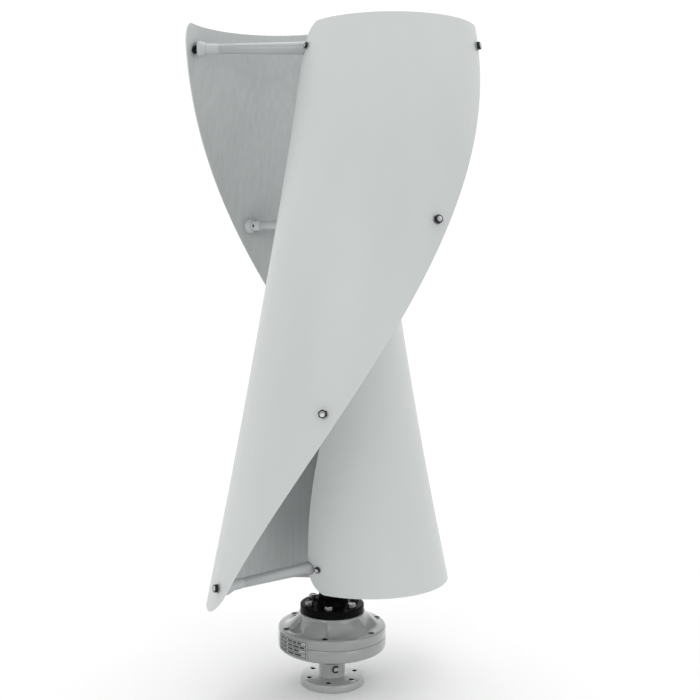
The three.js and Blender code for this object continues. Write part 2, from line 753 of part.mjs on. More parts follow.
/** One blade with the caps and bolts of its edges, turned about the shaft by an angle. */
function addBlade(letter, turn) {
  const side = new THREE.Group();
  side.rotation.z = turn;
  rotor.add(side);
  addPiece(side, `blade_${letter}`, blade(), 'blade');
  for (let level = 0; level < LEVEL_COUNT; level += 1) {
    const height = levelHeight(level);
    const cap = addPiece(side, `arm_cap_${letter}${level + 1}`, armCap(), 'cap');
    cap.rotation.z = azimuthAt(height);
    cap.position.z = height;
    const outer = addPiece(side, `outer_bolt_${letter}${level + 1}`, outerBolt(), 'steel');
    place(outer, bladeFrame(0, height));
    const inner = addPiece(side, `inner_bolt_${letter}${level + 1}`, innerBolt(), 'steel');
    place(inner, bladeFrame(innerBoltDistance(height), height));
  }
}

addBase();
addGeneratorRotor();
addShaft();
addBlade('a', 0);
addBlade('b', Math.PI);

export default turbine;
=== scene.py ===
import json
import math
import random
from collections import namedtuple

import bmesh
import bpy
from mathutils import Matrix, Vector


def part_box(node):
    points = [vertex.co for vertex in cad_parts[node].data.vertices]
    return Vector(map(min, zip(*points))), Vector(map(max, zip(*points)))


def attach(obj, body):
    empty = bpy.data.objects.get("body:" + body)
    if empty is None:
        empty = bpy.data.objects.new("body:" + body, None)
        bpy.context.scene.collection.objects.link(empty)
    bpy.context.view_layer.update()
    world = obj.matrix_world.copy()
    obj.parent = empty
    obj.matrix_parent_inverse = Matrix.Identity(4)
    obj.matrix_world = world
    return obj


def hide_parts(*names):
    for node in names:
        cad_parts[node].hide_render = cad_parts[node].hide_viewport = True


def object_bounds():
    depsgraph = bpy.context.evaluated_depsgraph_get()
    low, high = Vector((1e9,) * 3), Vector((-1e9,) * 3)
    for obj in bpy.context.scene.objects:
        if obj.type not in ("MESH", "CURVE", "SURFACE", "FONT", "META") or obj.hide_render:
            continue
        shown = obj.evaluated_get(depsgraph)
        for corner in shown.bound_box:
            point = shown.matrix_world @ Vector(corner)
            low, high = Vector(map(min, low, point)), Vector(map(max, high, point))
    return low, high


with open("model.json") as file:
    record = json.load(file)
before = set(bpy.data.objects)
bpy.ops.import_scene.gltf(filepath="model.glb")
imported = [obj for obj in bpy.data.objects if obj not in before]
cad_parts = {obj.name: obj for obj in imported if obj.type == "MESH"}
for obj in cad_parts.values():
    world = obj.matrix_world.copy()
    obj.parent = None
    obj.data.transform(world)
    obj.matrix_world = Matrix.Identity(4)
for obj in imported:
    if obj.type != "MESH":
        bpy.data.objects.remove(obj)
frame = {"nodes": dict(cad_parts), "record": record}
bounds_at_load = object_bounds()
random.seed(7)

LEVELS = 4
HOLES = 6
FIRST_HOLE = math.radians(22)
HOLE_STEP = math.tau / HOLES
TUBE_RADIUS = 0.024
FLANGE_RADIUS = 0.058
FLANGE_THICKNESS = 0.014
BOLT_CIRCLE = 0.0445
BOLT_HOLE = 0.0045
RIM_CIRCLE = 0.089
CASING_RADIUS = 0.098
SEAT_ABOVE_RIM = 0.0245
HALF_CIRCLE = [math.pi * k / 12 for k in range(13)]
TO_X = Matrix.Rotation(math.pi / 2, 4, "Y")


def box_centre(node):
    low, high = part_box(node)
    return (low + high) / 2


def level_height(level):
    return box_centre(f"spider_{level + 1}").z


def hole_azimuth(index):
    return FIRST_HOLE + index * math.tau / HOLES


def polar(radius, angle):
    return radius * math.cos(angle), radius * math.sin(angle)


def eased(share):
    """A smooth step from 0 to 1."""
    return share * share * (3 - 2 * share)


# ---------------------------------------------------------------- materials

def node_of(tree, kind, **inputs):
    """Adds a shader node and sets the named inputs, each a value or another node's output."""
    node = tree.nodes.new(kind)
    for name, value in inputs.items():
        socket = node.inputs[name.replace("_", " ")]
        if isinstance(value, bpy.types.NodeSocket):
            tree.links.new(value, socket)
        else:
            socket.default_value = value
    return node


def ramp(tree, factor, stops):
    """A colour ramp on a factor, from (position, grey or colour) stops."""
    node = tree.nodes.new("ShaderNodeValToRGB")
    tree.links.new(factor, node.inputs["Fac"])
    elements = node.color_ramp.elements
    while len(elements) < len(stops):
        elements.new(0.5)
    for element, (position, colour) in zip(elements, stops):
        element.position = position
        element.color = (*colour, 1) if isinstance(colour, tuple) else (colour, colour, colour, 1)
    return node.outputs["Color"]


def noise(tree, scale, detail=3.0, stretch=(1, 1, 1)):
    """A noise pattern fixed to the object, stretched along its axes."""
    place = tree.nodes.new("ShaderNodeTexCoord")
    mapping = node_of(tree, "ShaderNodeMapping", Vector=place.outputs["Object"], Scale=stretch)
    return node_of(tree, "ShaderNodeTexNoise", Vector=mapping.outputs["Vector"],
                   Scale=scale, Detail=detail).outputs["Fac"]


def bumped(tree, shader, height, distance, strength=1.0, normal=None):
    """Bumps a shader by a pattern, on top of an earlier bump's normal if there is one."""
    inputs = {"Height": height, "Distance": distance, "Strength": strength}
    if normal is not None:
        inputs["Normal"] = normal
    node = node_of(tree, "ShaderNodeBump", **inputs)
    tree.links.new(node.outputs["Normal"], shader.inputs["Normal"])
    return node.outputs["Normal"]


def new_material(name):
    material = bpy.data.materials.new(name)
    material.use_nodes = True
    tree = material.node_tree
    return material, tree, tree.nodes["Principled BSDF"]


def painted(name, dark, light, roughness, grain, grain_depth, coat=0.0):
    """Paint: patchy colour between two tones, uneven gloss and a fine surface grain."""
    material, tree, shader = new_material(name)
    patches = noise(tree, 9, 5)
    tree.links.new(ramp(tree, patches, [(0.3, dark), (0.7, light)]), shader.inputs["Base Color"])
    smears = ramp(tree, noise(tree, 30, 6), [(0.35, roughness - 0.05), (0.7, roughness + 0.07)])
    tree.links.new(smears, shader.inputs["Roughness"])
    bumped(tree, shader, noise(tree, grain, 2), grain_depth)
    shader.inputs["Coat Weight"].default_value = coat
    return material


def blade_paint():
    """Satin paint on the outside of a bent sheet, with faint long ripples from the bending."""
    material, tree, shader = new_material("blade_paint")
    patches = noise(tree, 5, 6, (1, 1, 0.4))
    tone = ramp(tree, patches, [(0.3, (0.545, 0.570, 0.563)), (0.7, (0.585, 0.610, 0.603))])
    tree.links.new(tone, shader.inputs["Base Color"])
    gloss = ramp(tree, noise(tree, 60, 4), [(0.3, 0.40), (0.7, 0.50)])
    tree.links.new(gloss, shader.inputs["Roughness"])
    shader.inputs["Specular IOR Level"].default_value = 0.35
    ripples = bumped(tree, shader, noise(tree, 7, 1, (1, 1, 0.25)), 0.0012, 0.35)
    bumped(tree, shader, noise(tree, 900, 2), 0.00005, 0.6, ripples)
    return material


def blade_inside():
    """The sheet's hollow side: the outside's paint made paler as painted light on the hollow,
    brushed on along the blade, with a streaky grain.
    """
    material, tree, shader = new_material("blade_inside")
    streaks = noise(tree, 170, 4, (1, 1, 0.03))
    clouds = noise(tree, 9, 6, (1, 1, 0.5))
    # Paler than the outside's tones: painted light that brightens the hollow side.
    tone = ramp(tree, streaks, [(0.25, (0.60, 0.622, 0.62)), (0.75, (0.665, 0.687, 0.685))])
    shade = ramp(tree, clouds, [(0.3, 0.93), (0.7, 1.0)])
    mix = tree.nodes.new("ShaderNodeMix")
    mix.data_type = "RGBA"
    mix.blend_type = "MULTIPLY"
    mix.inputs["Factor"].default_value = 1.0
    tree.links.new(tone, mix.inputs["A"])
    tree.links.new(shade, mix.inputs["B"])
    tree.links.new(mix.outputs["Result"], shader.inputs["Base Color"])
    gloss = ramp(tree, streaks, [(0.3, 0.62), (0.7, 0.48)])
    tree.links.new(gloss, shader.inputs["Roughness"])
    shader.inputs["Specular IOR Level"].default_value = 0.3
    bumped(tree, shader, streaks, 0.00007)
    return material


def brushed(name, tone, roughness, stretch, depth=0.00003):
    """Bare metal with fine scratches that run along the axes with the smallest scale."""
    material, tree, shader = new_material(name)
    scratches = noise(tree, 420, 4, stretch)
    low = tuple(0.82 * value for value in tone)
    tree.links.new(ramp(tree, scratches, [(0.3, low), (0.7, tone)]), shader.inputs["Base Color"])
    shader.inputs["Metallic"].default_value = 1.0
    worn = ramp(tree, noise(tree, 90, 5), [(0.3, roughness - 0.07), (0.75, roughness + 0.1)])
    tree.links.new(worn, shader.inputs["Roughness"])
    bumped(tree, shader, scratches, depth)
    return material


def black_paint():
    """Deep black satin paint with dust and scuffs, dull enough to stay black in a white room."""
    material, tree, shader = new_material("shaft_paint")
    dust = ramp(tree, noise(tree, 34, 6), [(0.35, 0.002), (0.8, 0.006)])
    tree.links.new(dust, shader.inputs["Base Color"])
    gloss = ramp(tree, noise(tree, 90, 5), [(0.3, 0.26), (0.7, 0.40)])
    tree.links.new(gloss, shader.inputs["Roughness"])
    shader.inputs["Specular IOR Level"].default_value = 0.03
    bumped(tree, shader, noise(tree, 420, 2), 0.00004)
    return material


def black_rubber():
    """Dull black rubber with a bloom of dust and a fine moulded grain."""
    material, tree, shader = new_material("black_rubber")
    clean = (0.012, 0.012, 0.013)
    dusty = tuple(value + 0.02 for value in clean)
    tone = ramp(tree, noise(tree, 45, 6), [(0.35, clean), (0.8, dusty)])
    tree.links.new(tone, shader.inputs["Base Color"])
    gloss = ramp(tree, noise(tree, 80, 3), [(0.3, 0.62), (0.7, 0.8)])
    tree.links.new(gloss, shader.inputs["Roughness"])
    bumped(tree, shader, noise(tree, 700, 3), 0.00006)
    return material


def wound_coils():
    """Copper windings under resin: rings of colour with a gloss top."""
    material, tree, shader = new_material("coil_resin")
    place = tree.nodes.new("ShaderNodeTexCoord")
    wave = node_of(tree, "ShaderNodeTexWave", Vector=place.outputs["Object"],
                   Scale=180.0, Distortion=0.6)
    wave.wave_type = "RINGS"
    wave.rings_direction = "Z"
    turns = wave.outputs["Fac"]
    copper = ramp(tree, turns, [(0.2, (0.16, 0.06, 0.02)), (0.8, (0.42, 0.17, 0.06))])
    tree.links.new(copper, shader.inputs["Base Color"])
    shader.inputs["Roughness"].default_value = 0.35
    shader.inputs["Coat Weight"].default_value = 0.6
    bumped(tree, shader, turns, 0.00008)
    return material


def backdrop_material():
    """A pale floor that fades into the white of the studio away from the object."""
    material, tree, shader = new_material("studio_floor")
    tone = ramp(tree, noise(tree, 2, 3), [(0.3, 0.87), (0.7, 0.89)])
    tree.links.new(tone, shader.inputs["Base Color"])
    shader.inputs["Roughness"].default_value = 0.9
    place = tree.nodes.new("ShaderNodeTexCoord")
    distance = node_of(tree, "ShaderNodeVectorMath", Vector=place.outputs["Object"])
    distance.operation = "LENGTH"
    fade = node_of(tree, "ShaderNodeMapRange", Value=distance.outputs["Value"],
                   From_Min=0.3, From_Max=1.5)
    fade.interpolation_type = "SMOOTHSTEP"
    clear = tree.nodes.new("ShaderNodeBsdfTransparent")
    mix = tree.nodes.new("ShaderNodeMixShader")
    tree.links.new(fade.outputs["Result"], mix.inputs["Fac"])
    tree.links.new(shader.outputs["BSDF"], mix.inputs[1])
    tree.links.new(clear.outputs["BSDF"], mix.inputs[2])
    tree.links.new(mix.outputs["Shader"], tree.nodes["Material Output"].inputs["Surface"])
    return material


GREY_CAST = ((0.245, 0.258, 0.254), (0.295, 0.308, 0.304))
# The casing's grey made lighter for the foot: painted light on the foot, which sits in the casing's
# shade.
LIGHTENED_GREY_FOOT = ((0.30, 0.315, 0.31), (0.355, 0.37, 0.365))
GREY_ARM = ((0.36, 0.375, 0.38), (0.42, 0.435, 0.44))
GREY_CAP = ((0.44, 0.455, 0.465), (0.51, 0.525, 0.535))
# The sheet's rim is paler than its faces: a painted highlight along the blades' edges.
EDGE_HIGHLIGHT_TONES = ((0.60, 0.62, 0.61), (0.74, 0.76, 0.75))
BLACK_INK = ((0.012, 0.013, 0.014), (0.02, 0.021, 0.022))
LOOKS = {
    "blade": blade_paint(),
    "blade_inside": blade_inside(),
    # The rim faces: paler paint as a painted highlight along the edges.
    "blade_edge": painted("blade_edge", *EDGE_HIGHLIGHT_TONES, 0.5, 600, 0.00005),
    "casing": painted("casing_paint", *GREY_CAST, 0.34, 300, 0.00014, 0.8),
    # The foot: the casing's paint made lighter, as painted light.
    "foot": painted("foot_paint_lightened", *LIGHTENED_GREY_FOOT, 0.32, 300, 0.00014, 0.9),
    # Near-black metal on the walls of the holes: painted shade inside the holes.
    "bore": brushed("bore_painted_shade", (0.035, 0.035, 0.036), 0.55, (1, 1, 0.2)),
    "arm": painted("arm_paint", *GREY_ARM, 0.34, 500, 0.00004, 0.3),
    "cap": painted("cap_plastic", *GREY_CAP, 0.45, 650, 0.00003),
    "shaft": black_paint(),
    # Bright steel for the washers; on the blade bolts it also lights the dish in each head as a
    # painted highlight.
    "steel": brushed("bright_steel_and_head_highlight", (0.45, 0.46, 0.47), 0.3, (1, 1, 0.1)),
    "hub_steel": brushed("dark_steel", (0.26, 0.26, 0.27), 0.24, (1, 1, 0.1)),
    # The blade bolts' heads, near-black round a bright dish: painted dark and bright reflections of
    # a shiny steel head.
    "dark_head": brushed("bolt_head_painted_reflection", (0.035, 0.035, 0.037), 0.3, (1, 1, 0.2)),
    "screw": brushed("black_oxide", (0.03, 0.03, 0.032), 0.45, (1, 1, 0.2)),
    "magnet": brushed("nickel_plate", (0.60, 0.59, 0.56), 0.22, (1, 1, 0.1)),
    "coil": wound_coils(),
    "rubber": black_rubber(),
    "plate": brushed("label_foil", (0.40, 0.415, 0.41), 0.42, (1, 1, 4), 0.00001),
    "print": painted("label_print", *BLACK_INK, 0.5, 800, 0.00001),
}

record_slots = {entry["node"]: entry["material_slot"] for entry in frame["record"]["subparts"]}
for node_name, cad in frame["nodes"].items():
    cad.data.materials.clear()
    cad.data.materials.append(LOOKS[record_slots[node_name]])


# ---------------------------------------------------------------- meshes

def linked(name, data):
    """Puts a new object that holds the data into the scene."""
    thing = bpy.data.objects.new(name, data)
    bpy.context.scene.collection.objects.link(thing)
    return thing


def as_mesh(name, mesh_data):
    """Turns a bmesh into a mesh with its normals out."""
    bmesh.ops.recalc_face_normals(mesh_data, faces=mesh_data.faces)
    mesh = bpy.data.meshes.new(name)
    mesh_data.to_mesh(mesh)
    mesh_data.free()
    return mesh


def mesh_object(name, mesh_data, matrix=None):
    """Turns a bmesh into a linked object that has its place in its vertices."""
    if matrix is not None:
        bmesh.ops.transform(mesh_data, matrix=matrix, verts=mesh_data.verts)
    bmesh.ops.remove_doubles(mesh_data, verts=mesh_data.verts, dist=1e-7)
    return linked(name, as_mesh(name, mesh_data))


def apply_modifiers(piece):
    """Bakes a piece's modifiers into its mesh."""
    bpy.context.view_layer.update()
    evaluated = piece.evaluated_get(bpy.context.evaluated_depsgraph_get())
    mesh = bpy.data.meshes.new_from_object(evaluated)
    piece.modifiers.clear()
    piece.data = mesh


def add_lathe(mesh_data, profile, segments):
    """Adds a closed surface of revolution about Z from a loop of (radius, height) points."""
    rings = []
    for radius, height in profile:
        if radius < 1e-6:
            rings.append([mesh_data.verts.new((0, 0, height))])
            continue
        rings.append([mesh_data.verts.new((*polar(radius, math.tau * k / segments), height))
                      for k in range(segments)])
    for lower, upper in zip(rings, rings[1:] + rings[:1]):
        if len(lower) == 1 and len(upper) == 1:
            continue
        for k in range(segments):
            n = (k + 1) % segments
            corners = (lower[k % len(lower)], lower[n % len(lower)],
                       upper[n % len(upper)], upper[k % len(upper)])
            mesh_data.faces.new(list(dict.fromkeys(corners)))


def lathe(name, profile, segments=96, matrix=None):
    mesh_data = bmesh.new()
    add_lathe(mesh_data, profile, segments)
    return mesh_object(name, mesh_data, matrix)


def add_prism(mesh_data, outline, low, high):
    """Adds an upright prism with a straight outline of (x, y) points."""
    bottom = [mesh_data.verts.new((x, y, low)) for x, y in outline]
    top = [mesh_data.verts.new((x, y, high)) for x, y in outline]
    mesh_data.faces.new(bottom)
    mesh_data.faces.new(top)
    for k in range(len(outline)):
        n = (k + 1) % len(outline)
        mesh_data.faces.new([bottom[k], bottom[n], top[n], top[k]])


def sector(name, start, end, profile, steps):
    """A solid swept round Z between two azimuths from a closed [radius, height] profile."""
    mesh_data = bmesh.new()
    rings = []
    for k in range(steps + 1):
        angle = start + (end - start) * k / steps
        rings.append([mesh_data.verts.new((*polar(radius, angle), z)) for radius, z in profile])
    count = len(profile)
    for ring, following in zip(rings, rings[1:]):
        for k in range(count):
            n = (k + 1) % count
            mesh_data.faces.new((ring[k], ring[n], following[n], following[k]))
    mesh_data.faces.new(rings[0])
    mesh_data.faces.new(rings[-1])
    return mesh_object(name, mesh_data)


def boolean(piece, tool, operation="DIFFERENCE"):
    """Cuts a piece with a tool, or joins the tool to it, and removes the tool."""
    modifier = piece.modifiers.new("cut", "BOOLEAN")
    modifier.operation = operation
    modifier.object = tool
    modifier.solver = "EXACT"
    apply_modifiers(piece)
    bpy.data.objects.remove(tool)


def hole_tools(circle, radius, low, high, sides=32):
    """One round cutter for each hole of a bolt circle."""
    mesh_data = bmesh.new()
    for index in range(HOLES):
        x, y = polar(circle, hole_azimuth(index))
        corners = [polar(radius, math.tau * k / sides) for k in range(sides)]
        add_prism(mesh_data, [(x + dx, y + dy) for dx, dy in corners], low, high)
    return mesh_object("holes", mesh_data)


def mark_bores(piece, circle, radius):
    """Gives the walls of the holes on a bolt circle the piece's second look, the near-black bore
    look that paints the shade inside the holes.
    """
    centres = [polar(circle, hole_azimuth(index)) for index in range(HOLES)]
    for face in piece.data.polygons:
        near = any(math.hypot(face.center.x - x, face.center.y - y) < radius for x, y in centres)
        if near and abs(face.normal.z) < 0.5:
            face.material_index = 1


def finish(piece, body, nodes, look, bevel=0.0, angle=35, segments=3, more=()):
    """Softens a piece's edges, shades it, gives it its looks, ties it to its body and hides the CAD
    nodes it stands for.

    The faces keep their material numbers: 0 is the look, and the others are the looks in more.
    """
    if bevel:
        modifier = piece.modifiers.new("bevel", "BEVEL")
        modifier.width = bevel
        modifier.segments = segments
        modifier.limit_method = "ANGLE"
        modifier.angle_limit = math.radians(angle)
        modifier.use_clamp_overlap = True
        modifier.harden_normals = False
        apply_modifiers(piece)
    which = [face.material_index for face in piece.data.polygons]
    piece.data.materials.clear()
    for each in (look, *more):
        piece.data.materials.append(LOOKS[each])
    for face, index in zip(piece.data.polygons, which):
        face.material_index = min(index, len(more))
        face.use_smooth = True
    piece.data.set_sharp_from_angle(angle=math.radians(38))
    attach(piece, body)
    for node in nodes:
        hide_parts(node)


# ---------------------------------------------------------------- blades

ARM_REACH = 0.250
TWIST = math.radians(136.2)
TWIST_BOW = math.radians(1)
TOP_AZIMUTH = math.radians(-3.4)
# The arc's centre in the arm's frame, at the lowest arm, half way up and at the highest arm.
ARC_CENTRE_X = (0.0965, 0.0745, 0.0995)
ARC_CENTRE_Y = (0.033, 0.032, 0.048)
BLADE_CORNER = 0.042
OUTER_MARGIN = 0.029
INNER_GAP = 0.002
INNER_BOLT_GAP = 0.022
SHEET = 0.002
NOTCH_RADIUS = 0.0135
SHEET_COLUMNS = 72
SHEET_ROWS = 150

low_level = level_height(0)
top_level = level_height(LEVELS - 1)
blade_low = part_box("blade_a")[0].z
blade_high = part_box("blade_a")[1].z
middle = (low_level + top_level) / 2
half_span = (top_level - low_level) / 2


def azimuth_at(height):
    """Where blade A's arm points at a height: an even twist with a slight bow."""
    share = (top_level - height) / (top_level - low_level)
    return TOP_AZIMUTH - TWIST * share + TWIST_BOW * 4 * share * (1 - share)


def along_blade(values, height):
    """A value at a height, on the parabola through its values low, half way and high."""
    u = (height - middle) / half_span
    low, centre, high = values
    return centre + (high - low) / 2 * u + ((high + low) / 2 - centre) * u * u


def arc_at(height):
    """The blade's arc at a height: its centre, radius, the angle where it starts and its length."""
    x = along_blade(ARC_CENTRE_X, height)
    y = along_blade(ARC_CENTRE_Y, height)
    radius = math.hypot(ARM_REACH - x, y)
    start = math.atan2(y, ARM_REACH - x)
    return x, y, radius, start, (math.pi - 2 * start) * radius


def arc_length(height):
    return arc_at(height)[4]


def blade_point(distance, height):
    """The point of the blade's outside at a distance along its arc from the arm's end."""
    x, y, radius, start, _ = arc_at(height)
    angle = -start - distance / radius
    azimuth = azimuth_at(height)
    px = x + radius * math.cos(angle)
    py = y + radius * math.sin(angle)
    return Vector((px * math.cos(azimuth) - py * math.sin(azimuth),
                   px * math.sin(azimuth) + py * math.cos(azimuth), height))


def blade_axes(distance, height):
    """Unit vectors along the arc, up the blade and out of its surface."""
    step = 0.0005
    along = blade_point(distance + step, height) - blade_point(distance - step, height)
    up = blade_point(distance, height + step) - blade_point(distance, height - step)
    outwards = up.cross(along).normalized()
    along.normalize()
    return along, outwards.cross(along), outwards


def blade_frame(distance, height):
    """From a frame with Z out of the blade's surface to the row frame."""
    turn = Matrix(blade_axes(distance, height)).transposed().to_4x4()
    return Matrix.Translation(blade_point(distance, height)) @ turn


def arm_matrix(level, turn=0.0):
    """From a frame with X along the arm and Z up to the row frame."""
    height = level_height(level)
    turned = Matrix.Rotation(azimuth_at(height) + turn, 4, "Z")
    return Matrix.Translation((0, 0, height)) @ turned


def corner_drop(inset):
    """How far the sheet's end lies inside its full height, at an inset from an upright edge."""
    def drop(value):
        if value >= BLADE_CORNER:
            return 0.0
        return BLADE_CORNER - math.sqrt(BLADE_CORNER ** 2 - (BLADE_CORNER - value) ** 2)
    return max(0.0, drop(inset) - drop(OUTER_MARGIN))


def edge_graded(count):
    """Shares from 0 to 1, closer together at both ends."""
    return [0.5 - 0.5 * math.cos(math.pi * k / count) for k in range(count + 1)]


def sheet_place(share, share_up):
    """Distance along the arc and height of a grid point, drawn in at the rounded corners."""
    half = (blade_high - blade_low) / 2
    centre = (blade_high + blade_low) / 2
    reach = (2 * share_up - 1) * half
    height = centre + reach
    for _ in range(2):
        inset = min(share, 1 - share) * (arc_length(height) - INNER_GAP + OUTER_MARGIN)
        height = centre + reach * (1 - corner_drop(inset) / half)
    return share * (arc_length(height) - INNER_GAP + OUTER_MARGIN) - OUTER_MARGIN, height


def fine_sheet():
    """The bent sheet as two smooth grids, closed round the rim: outside 0, inside 1, rim 2."""
    columns, rows = edge_graded(SHEET_COLUMNS), edge_graded(SHEET_ROWS)
    mesh_data = bmesh.new()
    grids = []
    for depth in (0, SHEET):
        grid = []
        for share_up in rows:
            line = []
            for share in columns:
                place = sheet_place(share, share_up)
                point = blade_point(*place) - blade_axes(*place)[2] * depth
                line.append(mesh_data.verts.new(point))
            grid.append(line)
        grids.append(grid)
    out, back = grids

    def add_face(corners, look):
        mesh_data.faces.new(corners).material_index = look

    for r in range(SHEET_ROWS):
        for c in range(SHEET_COLUMNS):
            add_face((out[r][c], out[r + 1][c], out[r + 1][c + 1], out[r][c + 1]), 0)
            add_face((back[r][c], back[r][c + 1], back[r + 1][c + 1], back[r + 1][c]), 1)
        for c in (0, SHEET_COLUMNS):
            add_face((out[r][c], back[r][c], back[r + 1][c], out[r + 1][c]), 2)
    for c in range(SHEET_COLUMNS):
        for r in (0, SHEET_ROWS):
            add_face((out[r][c], out[r][c + 1], back[r][c + 1], back[r][c]), 2)
    return mesh_data


def make_blades():
    """Blade A, notched at its inner edge round the other blade's arms, and blade B from it."""
    sheet = mesh_object("fine_blade_a", fine_sheet())
    notch = [(0, -0.12), (NOTCH_RADIUS, -0.12), (NOTCH_RADIUS, -0.03), (0, -0.03)]
    for level in range(LEVELS):
        boolean(sheet, lathe("notch", notch, 32, arm_matrix(level) @ TO_X))
    other = linked("fine_blade_b", sheet.data.copy())
    other.data.transform(Matrix.Rotation(math.pi, 4, "Z"))
    for piece, node in ((sheet, "blade_a"), (other, "blade_b")):
        finish(piece, "rotor", [node], "blade", 0.0004, 60, 2,
               more=("blade_inside", "blade_edge"))


make_blades()


# ---------------------------------------------------------------- fasteners

Size = namedtuple("Size", "shank across head washer_radius washer nut")
M8 = Size(0.004, 0.013, 0.0055, 0.008, 0.0016, 0.004)
M6 = Size(0.003, 0.010, 0.004, 0.006, 0.0014, 0.003)
PITCH = 0.00125
WASHER_EDGE = 0.0002


def bolt_mesh(size, seat, end, nut_top=None):
    """A hexagon bolt on Z, head up, with its thread, its washer and a nut if nut_top is given."""
    mesh_data = bmesh.new()
    head_bottom = seat + size.washer
    profile = [(0, end), (0.72 * size.shank, end)]
    height = end + 0.0006
    while height < head_bottom - PITCH - 0.001:
        profile += [(0.9 * size.shank, height), (size.shank, height + PITCH / 2)]
        height += PITCH
    profile += [(size.shank, head_bottom), (0, head_bottom)]
    add_lathe(mesh_data, profile, 28)
    before = len(mesh_data.faces)
    add_lathe(mesh_data, [(size.shank * 0.5, seat), (size.washer_radius, seat),
                          (size.washer_radius, head_bottom - WASHER_EDGE),
                          (size.washer_radius - WASHER_EDGE, head_bottom),
                          (size.shank * 0.5, head_bottom)], 40)
    mesh_data.faces.ensure_lookup_table()
    for face in mesh_data.faces[before:]:
        face.material_index = 1
    add_hex(mesh_data, size.across, head_bottom - 0.00001, head_bottom + size.head)
    if nut_top is not None:
        add_hex(mesh_data, size.across, nut_top - size.nut, nut_top)
    return as_mesh("bolt", mesh_data)


def add_hex(mesh_data, across, low, high):
    """A hexagon with its corners turned off and a shallow dish, material 1, in its end; on the
    blade bolts material 1 is bright steel in a near-black head, a painted highlight.
    """
    corner = across / math.sqrt(3)
    drop = 0.11 * across
    sides = 36
    levels = ((low, corner), (high - drop, corner), (high - 0.35 * drop, 0.525 * across),
              (high, 0.48 * across), (high, 0.36 * across), (high - 0.25 * drop, 0.30 * across))
    dish = len(levels) - 2
    rings = []
    for height, limit in levels:
        ring = []
        for k in range(sides):
            angle = math.tau * k / sides
            folded = (angle + math.pi / 6) % (math.pi / 3) - math.pi / 6
            flat = across / 2 / math.cos(math.pi / 6 - abs(folded))
            ring.append(mesh_data.verts.new((*polar(min(flat, limit), angle), height)))
        rings.append(ring)
    for number, (lower, upper) in enumerate(zip(rings, rings[1:])):
        for k in range(sides):
            n = (k + 1) % sides
            face = mesh_data.faces.new((lower[k], lower[n], upper[n], upper[k]))
            face.material_index = 1 if number >= dish else 0
    mesh_data.faces.new(rings[0])
    mesh_data.faces.new(rings[-1]).material_index = 1


def set_piece(mesh, node, matrix, look, more=()):
    """Places a copy of a mesh on the rotor as the finished piece for a node."""
    piece = linked("fine_" + node, mesh.copy())
    piece.data.transform(matrix)
    finish(piece, "rotor", [node], look, more=more)


def make_blade_bolts():
    outer = bolt_mesh(M8, 0.0007, -0.014, -0.0036)
    inner = bolt_mesh(M6, 0.0007, -0.0135, -0.008)
    for level in range(LEVELS):
        height = level_height(level)
        inner_distance = arc_length(height) - INNER_BOLT_GAP
        for letter, turn in (("a", 0.0), ("b", math.pi)):
            half_turn = Matrix.Rotation(turn, 4, "Z")
            spin = Matrix.Rotation(random.uniform(0, math.pi / 3), 4, "Z")
            for kind, mesh, distance in (("outer", outer, 0), ("inner", inner, inner_distance)):
                # Near-black heads with bright steel dishes: painted reflections of shiny steel
                # heads; the washers are bright steel.
                set_piece(mesh, f"{kind}_bolt_{letter}{level + 1}",
                          half_turn @ blade_frame(distance, height) @ spin,
                          "dark_head", ("steel",))


make_blade_bolts()


# ---------------------------------------------------------------- arms and their caps

def lug_mesh(level):
    """The lug behind blade A's inner bolt, in the arm's frame."""
    height = level_height(level)
    width, length, root, top, thickness = 0.011, 0.010, 0.018, -0.0042, 0.0035
    outline = [(-length * math.sin(a), width * math.cos(a)) for a in HALF_CIRCLE]
    mesh_data = bmesh.new()
    add_prism(mesh_data, [(root, width), *outline, (root, -width)], top - thickness, top)
    at_bolt = blade_frame(arc_length(height) - INNER_BOLT_GAP, height)
    bmesh.ops.transform(mesh_data, matrix=arm_matrix(level).inverted() @ at_bolt,
                        verts=mesh_data.verts)
    return mesh_data


def make_spider(level):
    """A spider with smooth tapered arms, filleted at the hub, and its lugs."""
    node = f"spider_{level + 1}"
    cad_low, cad_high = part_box(node)
    half = (cad_high.z - cad_low.z) / 2
    hub_radius, bore = 0.033, 0.0243
    hub = [(bore, -half), (hub_radius, -half), (hub_radius, half), (bore, half)]
    spider = lathe("fine_spider", hub, 96)
    arm = [(0, 0.0275), (0.016, 0.0275), (0.0158, 0.033), (0.0132, 0.0355), (0.0119, 0.039),
           (0.0113, 0.044), (0.0111, 0.052), (0.0082, 0.2295), (0.0078, 0.230), (0, 0.230)]
    for turn in (0.0, math.pi):
        rotation = Matrix.Rotation(turn, 4, "Z")
        boolean(spider, lathe("arm", arm, 48, rotation @ TO_X), "UNION")
        boolean(spider, mesh_object("lug", lug_mesh(level), rotation), "UNION")
    spider.name = "fine_" + node
    spider.data.transform(arm_matrix(level))
    finish(spider, "rotor", [node], "arm", 0.0006, 50, 2)


